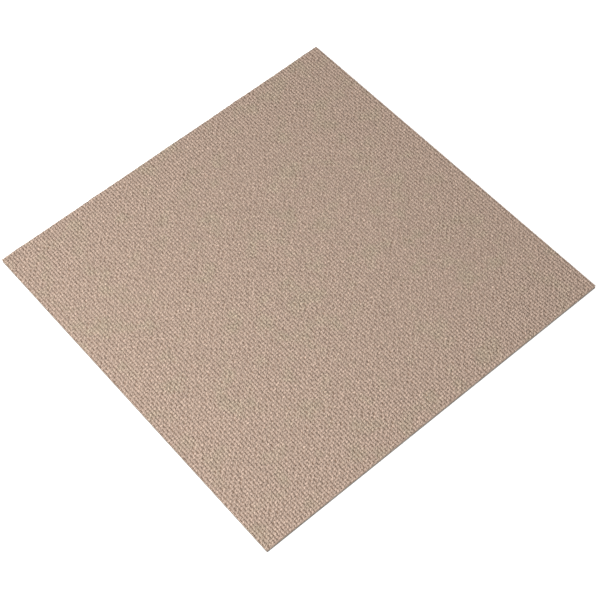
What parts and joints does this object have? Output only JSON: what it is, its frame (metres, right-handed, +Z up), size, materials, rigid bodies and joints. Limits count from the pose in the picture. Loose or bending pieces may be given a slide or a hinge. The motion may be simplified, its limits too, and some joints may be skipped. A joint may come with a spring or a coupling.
{
  "type": "carpet tile",
  "caption": "Square loop-pile carpet tile: a level beige tufted face on a heavy mid-grey backing.",
  "frame": {"origin": "the middle of the tile's underside", "axes": "+X along the rows of the pile, +Y across the rows, +Z up, from the backing to the pile"},
  "size_m": [0.5, 0.5, 0.0065],
  "materials": {
    "backing": "matte",
    "pile": "matte"
  },
  "bodies": {
    "root": {"backing": "backing", "pile": "pile"}
  },
  "joints": []
}
